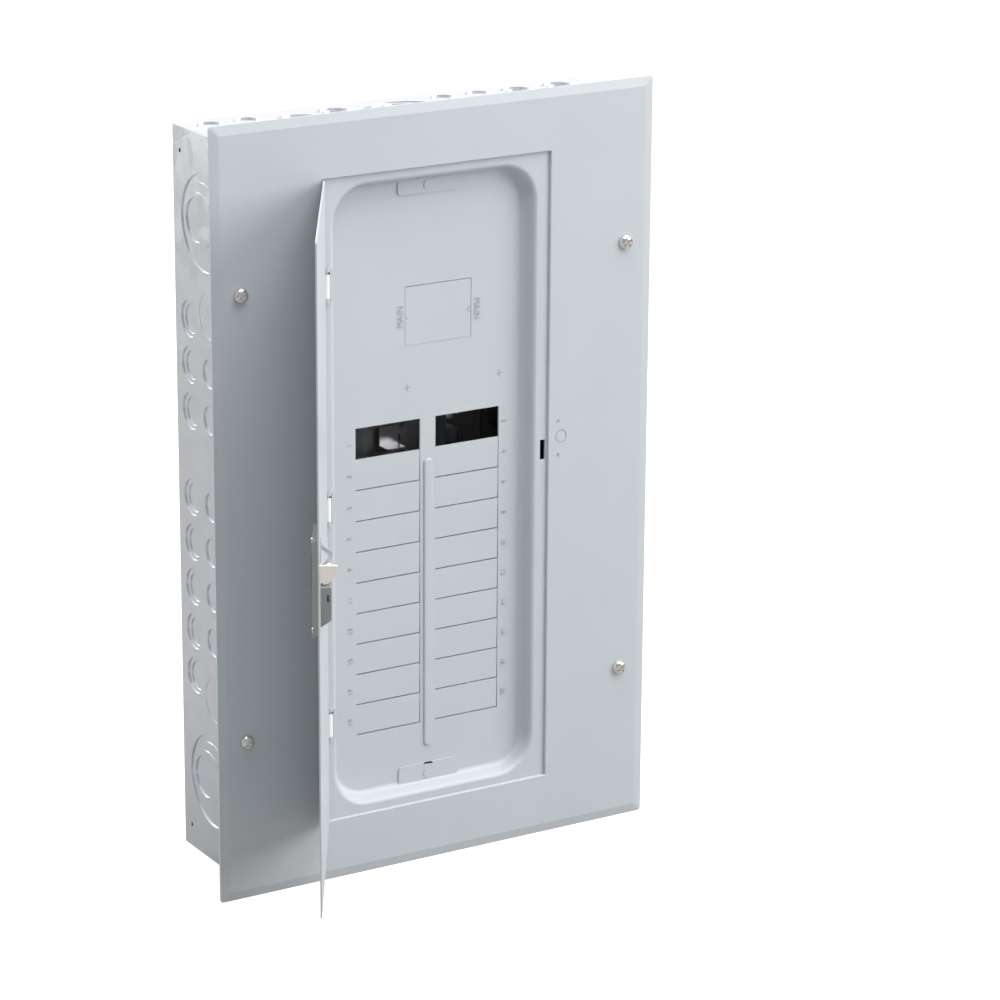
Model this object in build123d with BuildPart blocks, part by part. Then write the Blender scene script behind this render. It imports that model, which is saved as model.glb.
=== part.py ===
"""Residential load center: a steel box, a painted cover with a hinged door, a spring latch and the bus assembly.

Millimetres, +Z up, the front faces -Y. The origin is the centre of the box's back face.
A "depth" below is measured from the cover's front face towards the wall.
"""
import os
from math import atan2, cos, degrees, radians, sin

from build123d import *

os.makedirs("parts", exist_ok=True)

# ---- Overall sizes -------------------------------------------------------
overall_depth = 97.0
box_width = 358.0
box_height = 588.0
cover_width = 392.0
cover_height = 620.0

# ---- Box sheet metal -----------------------------------------------------
box_sheet = 1.5
bend_radius = 2.0
seam_gap = 0.1
end_flange = 12.0
slug_lap = 0.4
wall_hole_spacing_x = 280.0
wall_hole_spacing_z = 530.0
wall_hole_radius = 3.5
nail_hole_radius = 1.6
nail_hole_rise = 13.5
nail_hole_inset = 18.5
tab_reach = 14.0
tab_height = 24.0

# Knockouts: rise is the distance in front of the back face, level is how far the slug is pressed out.
big_rings = ((51.9, 38.2, -1.2), (47.0, 30.5, -0.6), (42.4, 22.0, 0.0), (39.0, 17.4, -1.1))
double_rings = ((25.5, 14.8, -1.1), (27.2, 11.6, -2.0))
single_rings = ((57.3, 11.5, -1.2),)
faint_rings = ((60.7, 19.1, -0.3),)
small_rings = ((20.0, 11.1, -1.2),)
medium_rings = ((38.3, 19.6, -1.2),)
big_side_height = 226.0
side_pitch = 36.8
upper_row_start = 72.3
upper_row_count = 3
lower_row_start = -145.0
lower_row_count = 5
faint_height = 155.5
end_big_x = (1.2,)
end_double_x = (-50.7, 114.4, 152.9)
end_small_x = (-156.2, -124.6, 49.0, 81.1)
end_medium_x = (-86.9,)

# ---- Cover ---------------------------------------------------------------
cover_sheet = 1.5
cover_corner = 2.5
bevel_width = 7.5
bevel_depth = 1.3
recess_width = 203.4
recess_height = 519.8
recess_depth = 2.4
breaker_axis_x = -1.0
pan_width = 180.2
pan_height = 503.6
pan_corner = 30.0
pan_inset = 3.6
floor_depth = 14.3
rim_fillet = 3.8
foot_fillet = 4.6
recess_edge = 1.0
edge_pick = 0.01
ring_margin = 0.1
pitch = 25.4
rows = 10
open_rows = 1
row_top = 55.6
slot_near = 6.9
slot_far = 65.0
slit = 0.9
slit_thin = 0.45
tie_width = 1.8
tie_row = 8
tie_x = 37.0
rib_width = 7.7
rib_top = 22.2
rib_bottom = -219.2
rib_rise = 1.6
rib_edge = 1.4
pad_width = 54.4
pad_rise = 1.1
pad_corner = 3.0
pad_edges = (236.3, -233.5)
disc_height = 242.6
disc_radius = 4.3
main_left = -21.5
main_right = 38.0
main_top = 163.3
main_bottom = 116.2
main_slit = 0.5
notch_height = 138.2
notch_size = 2.4
notch_stroke = 3.6
notch_turn = 45
cross_spots = ((-19.8, 82.1), (64.0, 82.4))
cross_size = 6.0
groove = 0.7
groove_depth = 0.6
mark_x = 113.5
mark_z = 27.0
mark_radius = 5.2
arrow_x = 110.7
arrow_heights = (39.8, 11.5)
arrow_size = 3.2
arrow_lean = 22
screw_x = 171.8
screw_z = 179.0
screw_radius = 2.4
screw_hole_radius = 2.9
screw_head_radius = 6.0
screw_head_height = 4.2
screw_dome = 3.6
screw_slot_width = 1.5
screw_slot_length = 8.4
screw_slot_depth = 1.9
screw_slot_turn = 35
screw_length = 14.0
thread_clearance = 0.06

# ---- Hinge and door ------------------------------------------------------
open_angle = 120.4
hinge_x = -97.2
hinge_depth = 2.1
hinge_heights = (178.0, 0.0, -178.0)
pin_radius = 1.0
pin_clearance = 0.06
pin_end_gap = 0.2
knuckle_radius = 2.4
bushing_length = 18.5
bushing_drop = 2.0
knuckle_length = 3.0
knuckle_gap_low = 0.35
knuckle_gap_high = 2.4
leaf_low = -13.4
leaf_high = 11.4
leaf_near = -94.1
leaf_far = -91.6
leaf_rise = 0.5
knuckle_side_gap = 0.6
door_sheet = 1.2
door_front = 0.3
door_gap = 0.7
door_edge = 1.6
door_notch = 2.6
door_corner = 2.5
tab_shift = 0.3
tab_end_gap = 0.5

# ---- Latch ---------------------------------------------------------------
latch_travel = 6.0
hook_centre = 194.9
hook_thickness = 3.0
hook_side_gap = 0.6
hook_top = 17.6
hook_bottom = 3.5
hook_reach = 12.7
hook_lip = 1.5
hook_curve = 13.3
strike_low = 9.1
strike_high = 25.6
strike_gap = 0.4
strike_spare = 0.4
catch_gap = 0.35
housing_inner = 158.5
housing_outer = 198.0
housing_half_height = 38.0
housing_rise = 4.0
housing_wall = 1.2
housing_corner = 2.0
housing_edge = 0.8
button_low = -2.6
button_high = 25.4
button_rise = 0.9
button_inset = 5.0
button_ribs = 5
slide_gap = 0.35
slide_plate = 1.2
boss_near = 161.5
boss_width = 13.0
boss_low = -3.0
boss_high = 8.4
boss_reach = 7.0
boss_slope_reach = 2.0
boss_slope_height = 3.0
cup_near = 161.0
cup_width = 17.0
cup_top = -5.4
cup_straight = -30.5
cup_foot = -37.0
cup_reach = 7.4
cup_wall = 1.2
cup_window_low = -16.5
cup_window_high = -11.0
cup_window_reach = (4.0, 5.9)
spring_low = 8.7
spring_apex = 16.6
spring_top = 23.2
spring_foot = 28.5
spring_reach = 7.8
spring_sheet = 0.5
spring_width = 9.0
latch_screw_along = 188.0
latch_screw_height = 34.6
latch_screw_radius = 1.25
latch_screw_head = 2.4
latch_screw_rise = 0.8

# ---- Bus assembly --------------------------------------------------------
tray_depth = 86.0
tray_sheet = 1.2
tray_half_width = 86.0
tray_foot = 12.0
tray_half_height = 212.0
tray_screw_z = 200.0
base_thickness = 5.0
base_half_width = 83.0
base_half_height = 205.0
base_lip = 2.5
base_lip_rise = 8.0
bus_thickness = 3.0
bus_near = 23.5
bus_width = 18.0
bus_bottom = -203.0
bus_top = 156.0
finger_lift = 3.8
finger_height = 17.0
finger_overreach = 8.5
finger_root_x = 10.0
finger_root_z = 11.0
finger_slot_x = 7.0
finger_slot_width = 1.8
finger_slot_height = 5.0
bus_bolt_heights = (84.0, -198.0)
bus_bolt_radius = 2.0
bus_bolt_head = 3.6
bus_bolt_rise = 2.6
stab_width = 17.0
stab_sheet = 1.6
stab_rise = 14.5
stab_foot_height = 15.0
stab_corner = 2.5
rail_near = 54.0
rail_width = 6.0
rail_hook_height = 14.0
rail_hook_sheet = 1.2
rail_hook_rise = 8.0
lug_width = 24.0
lug_height = 34.0
lug_rise = 27.0
lug_corner = 1.5
lug_bore = 8.5
lug_bore_rise = 11.5
lug_screw_radius = 5.5
lug_screw_length = 8.0
lug_key_radius = 3.0

# ---- Neutral and ground --------------------------------------------------
neutral_x = 122.0
neutral_width = 10.0
neutral_thickness = 12.0
neutral_depth = 68.0
neutral_low = -236.0
neutral_high = 84.0
wire_pitch = 12.7
neutral_count = 20
neutral_first = -206.0
neutral_lug_z = 64.0
wire_hole_radius = 2.4
wire_hole_depth = 7.4
bar_screw_radius = 2.3
bar_screw_head = 3.4
bar_screw_rise = 2.6
bar_screw_length = 4.4
bar_slot_width = 1.1
bar_slot_turn = 60
support_width = 18.0
support_height = 22.0
support_heights = (-190.0, 20.0)
strap_z = -227.0
strap_height = 12.0
strap_thickness = 3.0
ground_x = -152.0
ground_low = -236.0
ground_high = -128.0
ground_first = -220.0
ground_count = 7
ground_thickness = 10.0
fixing_radius = 2.4
fixing_head = 4.6
fixing_rise = 2.4
fixing_back_gap = 0.1
fixing_slot_width = 1.2
fixing_slot_length = 6.6
fixing_slot_turn = 20


def front(depth):
    """Plane parallel to the wall, facing the room, at a depth behind the cover's face."""
    return Plane(origin=(0, depth - overall_depth, 0), x_dir=(1, 0, 0), z_dir=(0, -1, 0))


def edges_at(piece, depth):
    """The edges of a piece that lie at one depth."""
    y = depth - overall_depth
    return piece.edges().filter_by_position(Axis.Y, y - edge_pick, y + edge_pick)


def pan_ring(piece, depth):
    """The edges around the pan at one depth."""
    return [
        e for e in edges_at(piece, depth)
        if abs(e.center().X - breaker_axis_x) < pan_width / 2 + cover_sheet + ring_margin
        and abs(e.center().Z) < pan_height / 2 + cover_sheet + ring_margin
    ]


door_out = (-sin(radians(open_angle)), -cos(radians(open_angle)))
door_along = (cos(radians(open_angle)), -sin(radians(open_angle)))


def door_face(inward):
    """Plane parallel to the open door, facing away from the cover, measured inward from the hinge axis."""
    x = hinge_x - inward * door_out[0]
    y = hinge_depth - overall_depth - inward * door_out[1]
    return Plane(origin=(x, y, 0), x_dir=(*door_along, 0), z_dir=(*door_out, 0))


def door_slice(along):
    """Plane square to the open door, measured from the hinge axis; its x runs inward and its y up."""
    x = hinge_x + along * door_along[0]
    y = hinge_depth - overall_depth + along * door_along[1]
    return Plane(origin=(x, y, 0), x_dir=(-door_out[0], -door_out[1], 0), z_dir=(*door_along, 0))


def press_slug(wall, spots, radius, old_level, new_level):
    """Moves round slugs of the box sheet from one level to another, joined by a thin neck."""
    shift = new_level - old_level
    sunk = shift < 0
    back_radius = radius + slug_lap if sunk else radius - slug_lap
    with BuildSketch(wall.offset(old_level - box_sheet)) as behind:
        with Locations(*spots):
            Circle(back_radius)
    extrude(behind.sketch, amount=shift, mode=Mode.ADD if sunk else Mode.SUBTRACT)
    with BuildSketch(wall.offset(old_level)) as ahead:
        with Locations(*spots):
            Circle(radius)
    extrude(ahead.sketch, amount=shift, mode=Mode.SUBTRACT if sunk else Mode.ADD)


def knockouts(wall, rings, place):
    """Presses every ring of one kind of knockout; place turns a rise into the spots on the wall."""
    level = 0.0
    for rise, radius, new_level in rings:
        press_slug(wall, place(rise), radius, level, new_level)
        level = new_level


# ==== Box =================================================================
box_depth = overall_depth - cover_sheet
upper_row = [upper_row_start + side_pitch * k for k in range(upper_row_count)]
lower_row = [lower_row_start + side_pitch * k for k in range(lower_row_count)]
inner_row = upper_row[:-1] + lower_row[1:]
ear_centre_x = box_width / 2 - box_sheet - tab_reach / 2

# Back and both sides are one sheet bent to a U.
with BuildPart() as box_body:
    with BuildSketch(Plane.XY.offset(-box_height / 2)):
        Rectangle(box_width, box_depth, align=(Align.CENTER, Align.MAX))
        with Locations((0, -box_sheet)):
            Rectangle(box_width - 2 * box_sheet, box_depth, align=(Align.CENTER, Align.MAX), mode=Mode.SUBTRACT)
    extrude(amount=box_height)
    fillet(box_body.edges().filter_by(Axis.Z).group_by(Axis.Y)[-1], radius=bend_radius)
    for side in (-1, 1):
        wall = Plane(origin=(side * box_width / 2, 0, 0), x_dir=(0, side, 0), z_dir=(side, 0, 0))
        for rings, heights in (
            (big_rings, (big_side_height, -big_side_height)),
            (double_rings, upper_row + lower_row),
            (single_rings, inner_row),
            (faint_rings, (faint_height, -faint_height)),
        ):
            knockouts(wall, rings, lambda rise: [(-side * rise, z) for z in heights])
        with BuildSketch(wall):
            with Locations(*[(-side * nail_hole_rise, z * (box_height / 2 - nail_hole_inset)) for z in (-1, 1)]):
                Circle(nail_hole_radius)
        extrude(amount=-box_sheet, mode=Mode.SUBTRACT)
    with BuildSketch(front(cover_sheet)):
        with Locations(*[(i * ear_centre_x, j * screw_z) for i in (-1, 1) for j in (-1, 1)]):
            Rectangle(tab_reach, tab_height)
    extrude(amount=-box_sheet)
    with BuildSketch(front(cover_sheet)):
        with Locations(*[(i * screw_x, j * screw_z) for i in (-1, 1) for j in (-1, 1)]):
            Circle(screw_radius + thread_clearance)
    extrude(amount=-box_sheet, mode=Mode.SUBTRACT)
    with BuildSketch(front(overall_depth)):
        with GridLocations(wall_hole_spacing_x, wall_hole_spacing_z, 2, 2):
            Circle(wall_hole_radius)
        with Locations(*[(breaker_axis_x + i * (tray_half_width + tray_foot / 2), j * tray_screw_z)
                         for i in (-1, 1) for j in (-1, 1)]):
            Circle(fixing_radius + thread_clearance)
        with Locations((breaker_axis_x, strap_z), (ground_x, ground_low + wire_pitch / 2),
                       (ground_x, ground_high - wire_pitch / 2)):
            Circle(fixing_radius + thread_clearance)
    extrude(amount=box_sheet, mode=Mode.SUBTRACT)
box_body.part.label = "box_body"
export_step(box_body.part, "parts/box_body.step")

# The end walls are separate plates with flanges welded inside the sides.
end_half = box_width / 2 - box_sheet - seam_gap
for name, up in (("end_wall_top", 1), ("end_wall_bottom", -1)):
    with BuildPart() as end_wall:
        face = Plane(origin=(0, 0, up * box_height / 2), x_dir=(1, 0, 0), z_dir=(0, 0, up))
        with BuildSketch(face):
            with Locations((0, -up * (box_sheet + box_depth) / 2)):
                Rectangle(2 * end_half, box_depth - box_sheet)
        extrude(amount=-box_sheet)
        with BuildSketch(face.offset(-box_sheet)):
            with Locations((0, -up * (box_sheet + box_depth) / 2)):
                with GridLocations(2 * end_half - box_sheet, 0, 2, 1):
                    Rectangle(box_sheet, box_depth - box_sheet)
        extrude(amount=-end_flange)
        for rings, centres in (
            (big_rings, end_big_x),
            (double_rings, end_double_x),
            (small_rings, end_small_x),
            (medium_rings, end_medium_x),
        ):
            knockouts(face, rings, lambda rise: [(x, -up * rise) for x in centres])
    end_wall.part.label = name
    export_step(end_wall.part, f"parts/{name}.step")

# ==== Cover ===============================================================
row_centres = [row_top - pitch * (k + 0.5) for k in range(rows)]
slot_width = slot_far - slot_near
pan_draft = degrees(atan2(pan_inset, floor_depth - recess_depth))
strike_x = hinge_x + hook_centre
strike_width = hook_thickness + 2 * hook_side_gap + strike_spare

with BuildPart() as cover:
    # Flat face with a shallow bevelled border and a turned-back edge.
    with BuildSketch(front(bevel_depth)):
        RectangleRounded(cover_width, cover_height, cover_corner)
    with BuildSketch(front(0)):
        RectangleRounded(cover_width - 2 * bevel_width, cover_height - 2 * bevel_width, cover_corner / 2)
    loft(ruled=True)
    with BuildSketch(front(bevel_depth)):
        RectangleRounded(cover_width, cover_height, cover_corner)
    extrude(amount=-cover_sheet)
    with BuildSketch(front(cover_sheet)):
        Rectangle(cover_width - 2 * bevel_width, cover_height - 2 * bevel_width)
    with BuildSketch(front(cover_sheet + bevel_depth)):
        Rectangle(cover_width - 2 * cover_sheet, cover_height - 2 * cover_sheet)
    loft(ruled=True, mode=Mode.SUBTRACT)

    # Door recess, then the deeper pan that the breakers look through.
    with BuildSketch(front(cover_sheet)):
        Rectangle(recess_width + 2 * cover_sheet, recess_height + 2 * cover_sheet)
    extrude(amount=-recess_depth)
    with BuildSketch(front(recess_depth + cover_sheet)):
        with Locations((breaker_axis_x, 0)):
            RectangleRounded(pan_width + 2 * cover_sheet, pan_height + 2 * cover_sheet, pan_corner + cover_sheet)
    extrude(amount=recess_depth - floor_depth, taper=pan_draft)
    fillet(pan_ring(cover, recess_depth + cover_sheet), radius=rim_fillet - cover_sheet)
    fillet(pan_ring(cover, floor_depth + cover_sheet), radius=foot_fillet + cover_sheet)
    with BuildSketch(front(0)):
        Rectangle(recess_width, recess_height)
    extrude(amount=-recess_depth, mode=Mode.SUBTRACT)
    with BuildSketch(front(recess_depth)):
        with Locations((breaker_axis_x, 0)):
            RectangleRounded(pan_width, pan_height, pan_corner)
    extrude(amount=recess_depth - floor_depth, taper=pan_draft, mode=Mode.SUBTRACT)
    fillet(pan_ring(cover, recess_depth), radius=rim_fillet)
    fillet(pan_ring(cover, floor_depth), radius=foot_fillet)
    recess_rim = [e for e in edges_at(cover, 0) if abs(e.center().X) < recess_width / 2 + ring_margin]
    fillet([e for e in recess_rim if abs(e.center().Z) < recess_height / 2 + ring_margin], radius=recess_edge)

    # Raised bead between the columns, and a raised pad with a disc at each end of the pan.
    rib_length = rib_top - rib_bottom
    rib_middle = (rib_top + rib_bottom) / 2
    with BuildSketch(front(floor_depth)):
        with Locations((breaker_axis_x, rib_middle)):
            SlotOverall(rib_length, rib_width, rotation=90)
    extrude(amount=rib_rise)
    fillet(edges_at(cover, floor_depth - rib_rise), radius=rib_edge)
    with BuildSketch(front(floor_depth + cover_sheet)):
        with Locations((breaker_axis_x, rib_middle)):
            SlotOverall(rib_length - 2 * cover_sheet, rib_width - 2 * cover_sheet, rotation=90)
    extrude(amount=rib_rise, mode=Mode.SUBTRACT)
    foot_half = pan_height / 2 - pan_inset
    for edge in pad_edges:
        pad_sign = 1 if edge > 0 else -1
        pad_height = foot_half - abs(edge)
        with BuildSketch(front(floor_depth)):
            with Locations((breaker_axis_x, edge + pad_sign * pad_height / 2)):
                Rectangle(pad_width, pad_height)
            fillet([v for v in vertices() if abs(v.Y - edge) < edge_pick], radius=pad_corner)
        extrude(amount=pad_rise)
        with BuildSketch(front(floor_depth - pad_rise)):
            with Locations((breaker_axis_x, pad_sign * disc_height)):
                Circle(disc_radius)
        extrude(amount=pad_rise / 2)
    with BuildSketch(front(floor_depth - pad_rise)):
        with Locations((breaker_axis_x, pad_edges[1] - slit)):
            SlotOverall(2 * disc_radius, 2 * slit)
    extrude(amount=-pad_rise - cover_sheet, mode=Mode.SUBTRACT)

    # Windows, and the slits that free each twist-out on its lower and right edges.
    with BuildSketch(front(floor_depth)):
        for column in (-1, 1):
            left = breaker_axis_x + (slot_near if column > 0 else -slot_far)
            right = left + slot_width
            with Locations(*[(left + slot_width / 2, row_centres[k]) for k in range(open_rows)]):
                Rectangle(slot_width, pitch)
            for k in range(open_rows, rows):
                foot = row_top - pitch * (k + 1)
                with Locations((left + slot_width / 2, foot + slit / 2)):
                    Rectangle(slot_width, slit)
                with BuildLine():
                    Polyline(
                        (right - slit_thin, foot + pitch), (right, foot + pitch), (right, foot),
                        (right - slit, foot), close=True,
                    )
                make_face()
        with Locations((tie_x, row_top - pitch * (tie_row + 1) + slit / 2)):
            Rectangle(tie_width, slit, mode=Mode.SUBTRACT)
    extrude(amount=-cover_sheet, mode=Mode.SUBTRACT)

    # The main twist-out is slit along its top and right, with shallow marks beside it.
    with BuildSketch(front(floor_depth)):
        with Locations(((main_left + main_right) / 2, main_top)):
            Rectangle(main_right - main_left, main_slit)
        with Locations((main_right, (main_top + main_bottom) / 2)):
            Rectangle(main_slit, main_top - main_bottom)
    extrude(amount=-cover_sheet, mode=Mode.SUBTRACT)
    with BuildSketch(front(floor_depth)):
        with Locations(*cross_spots):
            Rectangle(cross_size, groove)
            Rectangle(groove, cross_size)
        with Locations((main_left + notch_size / 2, notch_height)):
            Rectangle(notch_size / 2, groove)
        with Locations(
            Location((main_right - notch_size, notch_height - notch_size / 2, 0), (0, 0, -notch_turn)),
            Location((main_right - notch_size, notch_height + notch_size / 2, 0), (0, 0, notch_turn)),
        ):
            Rectangle(notch_stroke, groove)
    extrude(amount=-groove_depth, mode=Mode.SUBTRACT)
    with BuildSketch(front(floor_depth)):
        with Locations((main_left, (main_top + main_bottom) / 2)):
            Rectangle(main_slit, main_top - main_bottom)
        with Locations(((main_left + main_right) / 2, main_bottom)):
            Rectangle(main_right - main_left, main_slit)
    extrude(amount=-groove_depth / 2, mode=Mode.SUBTRACT)

    # Strike slot for the latch hook, the mark beside it and the four screw holes.
    with BuildSketch(front(recess_depth)):
        with Locations((strike_x, (strike_low + strike_high) / 2)):
            Rectangle(strike_width, strike_high - strike_low)
    extrude(amount=-cover_sheet, mode=Mode.SUBTRACT)
    with BuildSketch(front(0)):
        with Locations((mark_x, mark_z)):
            Circle(mark_radius)
            Circle(mark_radius - groove, mode=Mode.SUBTRACT)
            with Locations((0, mark_radius)):
                Circle(groove)
        for z in arrow_heights:
            for lean in (-1, 1):
                with Locations(Location((arrow_x + lean * arrow_size / 4, z, 0), (0, 0, lean * arrow_lean))):
                    Rectangle(groove, arrow_size)
    extrude(amount=-groove_depth, mode=Mode.SUBTRACT)
    with BuildSketch(front(0)):
        with GridLocations(2 * screw_x, 2 * screw_z, 2, 2):
            Circle(screw_hole_radius)
    extrude(amount=-cover_sheet, mode=Mode.SUBTRACT)

    # Hinges: a raised leaf, a slot for the door's knuckle, and two loops for the pin.
    slot_low = -bushing_drop - bushing_length / 2 - knuckle_gap_low
    slot_high = -bushing_drop + bushing_length / 2 + knuckle_gap_high
    for height in hinge_heights:
        with BuildSketch(front(recess_depth)):
            with Locations(((leaf_near + leaf_far) / 2, height + (leaf_low + leaf_high) / 2)):
                Rectangle(leaf_far - leaf_near, leaf_high - leaf_low)
        extrude(amount=leaf_rise)
        with BuildSketch(front(recess_depth)):
            with Locations((hinge_x, height + (slot_low + slot_high) / 2)):
                Rectangle(2 * knuckle_radius + 2 * knuckle_side_gap, slot_high - slot_low)
        extrude(amount=-cover_sheet, mode=Mode.SUBTRACT)
        for base in (slot_low - knuckle_length, slot_high):
            pin_plane = Plane.XY.offset(height + base)
            with BuildSketch(pin_plane):
                with Locations((hinge_x, hinge_depth - overall_depth)):
                    Circle(knuckle_radius)
                    Rectangle(2 * knuckle_radius, recess_depth + cover_sheet - hinge_depth,
                              align=(Align.CENTER, Align.MIN))
            extrude(amount=knuckle_length)
        with BuildSketch(Plane.XY.offset(height + slot_low - knuckle_length)):
            with Locations((hinge_x, hinge_depth - overall_depth)):
                Circle(pin_radius + pin_clearance / 2)
        extrude(amount=slot_high - slot_low + 2 * knuckle_length, mode=Mode.SUBTRACT)
cover.part.label = "cover"
export_step(cover.part, "parts/cover.step")

# Four domed screws with a crossed slot hold the cover on the box's ears.
with BuildPart() as cover_screws:
    with BuildSketch(front(0)):
        with GridLocations(2 * screw_x, 2 * screw_z, 2, 2):
            Circle(screw_head_radius)
    extrude(amount=screw_head_height)
    fillet(edges_at(cover_screws, -screw_head_height), radius=screw_dome)
    with BuildSketch(front(0)):
        with GridLocations(2 * screw_x, 2 * screw_z, 2, 2):
            Circle(screw_radius)
    extrude(amount=-screw_length)
    with BuildSketch(front(-screw_head_height)):
        with GridLocations(2 * screw_x, 2 * screw_z, 2, 2):
            Rectangle(screw_slot_length, screw_slot_width, rotation=screw_slot_turn)
            Rectangle(screw_slot_width, screw_slot_length, rotation=screw_slot_turn)
    extrude(amount=-screw_slot_depth, mode=Mode.SUBTRACT)
cover_screws.part.label = "cover_screws"
export_step(cover_screws.part, "parts/cover_screws.step")

# ==== Hinges ==============================================================
pin_overhang = knuckle_length - pin_end_gap
for name, height in zip(("top", "middle", "bottom"), hinge_heights):
    with BuildPart() as hinge_pin:
        with BuildSketch(Plane.XY.offset(height + slot_low - pin_overhang)):
            with Locations((hinge_x, hinge_depth - overall_depth)):
                Circle(pin_radius)
        extrude(amount=slot_high - slot_low + 2 * pin_overhang)
    hinge_pin.part.label = f"hinge_pin_{name}"
    export_step(hinge_pin.part, f"parts/hinge_pin_{name}.step")

    with BuildPart() as hinge_bushing:
        with BuildSketch(Plane.XY.offset(height - bushing_drop - bushing_length / 2)):
            with Locations((hinge_x, hinge_depth - overall_depth)):
                Circle(knuckle_radius)
                Circle(pin_radius + pin_clearance, mode=Mode.SUBTRACT)
        extrude(amount=bushing_length)
    hinge_bushing.part.label = f"hinge_bushing_{name}"
    export_step(hinge_bushing.part, f"parts/hinge_bushing_{name}.step")

# ==== Door ================================================================
door_outer = door_front - hinge_depth
door_inner = door_outer + door_sheet
door_far = recess_width / 2 - door_gap - hinge_x
door_half_height = recess_height / 2 - door_gap
housing_width = housing_outer - housing_inner
housing_middle = (housing_outer + housing_inner) / 2

with BuildPart() as door_panel:
    with BuildSketch(door_face(door_inner)):
        with Locations(((door_edge + door_far) / 2, 0)):
            RectangleRounded(door_far - door_edge, 2 * door_half_height, door_corner)
    extrude(amount=door_sheet)
    for height in hinge_heights:
        notch_low = slot_low - knuckle_length - door_gap
        notch_high = slot_high + knuckle_length + door_gap
        with BuildSketch(door_face(door_inner)):
            with Locations((door_notch / 2, height + (notch_low + notch_high) / 2)):
                Rectangle(door_notch, notch_high - notch_low)
        extrude(amount=door_sheet, mode=Mode.SUBTRACT)
        with BuildSketch(door_face(door_inner)):
            with Locations((door_notch / 2 + tab_shift, height - bushing_drop)):
                Rectangle(door_notch, bushing_length - 2 * tab_end_gap)
        extrude(amount=door_sheet)
        with BuildSketch(Plane.XY.offset(height - bushing_drop - bushing_length / 2)):
            with Locations((hinge_x, hinge_depth - overall_depth)):
                Circle(knuckle_radius)
        extrude(amount=bushing_length, mode=Mode.SUBTRACT)
    # Openings for the hook, the spring boss and the finger cup, and the housing's screw holes.
    with BuildSketch(door_face(door_inner)):
        with Locations((hook_centre, (hook_bottom + hook_top + latch_travel) / 2)):
            Rectangle(hook_thickness + 2 * slide_gap, hook_top - hook_bottom + latch_travel + 2 * slide_gap)
        with Locations((boss_near + boss_width / 2, (boss_low + boss_high + latch_travel) / 2)):
            Rectangle(boss_width + 2 * slide_gap, boss_high - boss_low + latch_travel + 2 * slide_gap)
        with Locations((cup_near + cup_width / 2, (cup_top + cup_foot) / 2)):
            Rectangle(cup_width, cup_top - cup_foot)
        with Locations((latch_screw_along, latch_screw_height), (latch_screw_along, -latch_screw_height)):
            Circle(latch_screw_radius + thread_clearance)
    extrude(amount=door_sheet, mode=Mode.SUBTRACT)
door_panel.part.label = "door_panel"
export_step(door_panel.part, "parts/door_panel.step")

# ==== Latch ===============================================================
slide_inner = housing_inner + housing_wall + slide_gap
slide_outer = housing_outer - housing_wall - slide_gap
slide_middle = (slide_inner + slide_outer) / 2
slide_width = slide_outer - slide_inner
slide_back = door_outer - slide_gap
slide_front = slide_back - slide_plate
button_width = slide_width - 2 * button_inset
track_low = button_low - slide_gap
track_high = button_high + latch_travel + slide_gap
catch_low = strike_low + strike_gap
catch_inward = recess_depth + cover_sheet + catch_gap - hinge_depth

# Grey moulding screwed to the door's outer face: a frame around the thumb slide and a cup for the finger.
with BuildPart() as latch_housing:
    with BuildSketch(door_face(door_outer)):
        with Locations((housing_middle, 0)):
            RectangleRounded(housing_width, 2 * housing_half_height, housing_corner)
    extrude(amount=housing_rise)
    outer_face = latch_housing.faces().sort_by(Axis((0, 0, 0), (*door_out, 0)))[-1]
    fillet(outer_face.edges(), radius=housing_edge)
    with BuildSketch(door_face(door_outer)):
        with Locations((housing_middle, (track_high + boss_low) / 2)):
            Rectangle(slide_width + 2 * slide_gap, track_high - boss_low + 2 * slide_gap)
    extrude(amount=housing_rise - housing_wall, mode=Mode.SUBTRACT)
    with BuildSketch(door_face(door_outer)):
        with Locations((housing_middle, (track_low + track_high) / 2)):
            Rectangle(button_width + 2 * slide_gap, track_high - track_low)
        with Locations((latch_screw_along, latch_screw_height), (latch_screw_along, -latch_screw_height)):
            Circle(latch_screw_radius + thread_clearance)
    extrude(amount=housing_rise, mode=Mode.SUBTRACT)
    with BuildSketch(door_slice(cup_near)):
        with BuildLine():
            Polyline(
                (door_outer, cup_top), (cup_reach, cup_top), (cup_reach, cup_straight), (door_outer, cup_foot),
                close=True,
            )
        make_face()
    extrude(amount=cup_width)
    with BuildSketch(door_slice(cup_near + cup_wall)):
        with BuildLine():
            Polyline(
                (door_outer - housing_rise, cup_top - cup_wall), (cup_reach - cup_wall, cup_top - cup_wall),
                (cup_reach - cup_wall, cup_straight), (door_outer, cup_foot + cup_wall),
                (door_outer - housing_rise, cup_foot + cup_wall), close=True,
            )
        make_face()
    extrude(amount=cup_width - 2 * cup_wall, mode=Mode.SUBTRACT)
    with BuildSketch(door_slice(cup_near)):
        with Locations((sum(cup_window_reach) / 2, (cup_window_low + cup_window_high) / 2)):
            Rectangle(cup_window_reach[1] - cup_window_reach[0], cup_window_high - cup_window_low)
    extrude(amount=cup_width, mode=Mode.SUBTRACT)
latch_housing.part.label = "latch_housing"
export_step(latch_housing.part, "parts/latch_housing.step")

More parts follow.
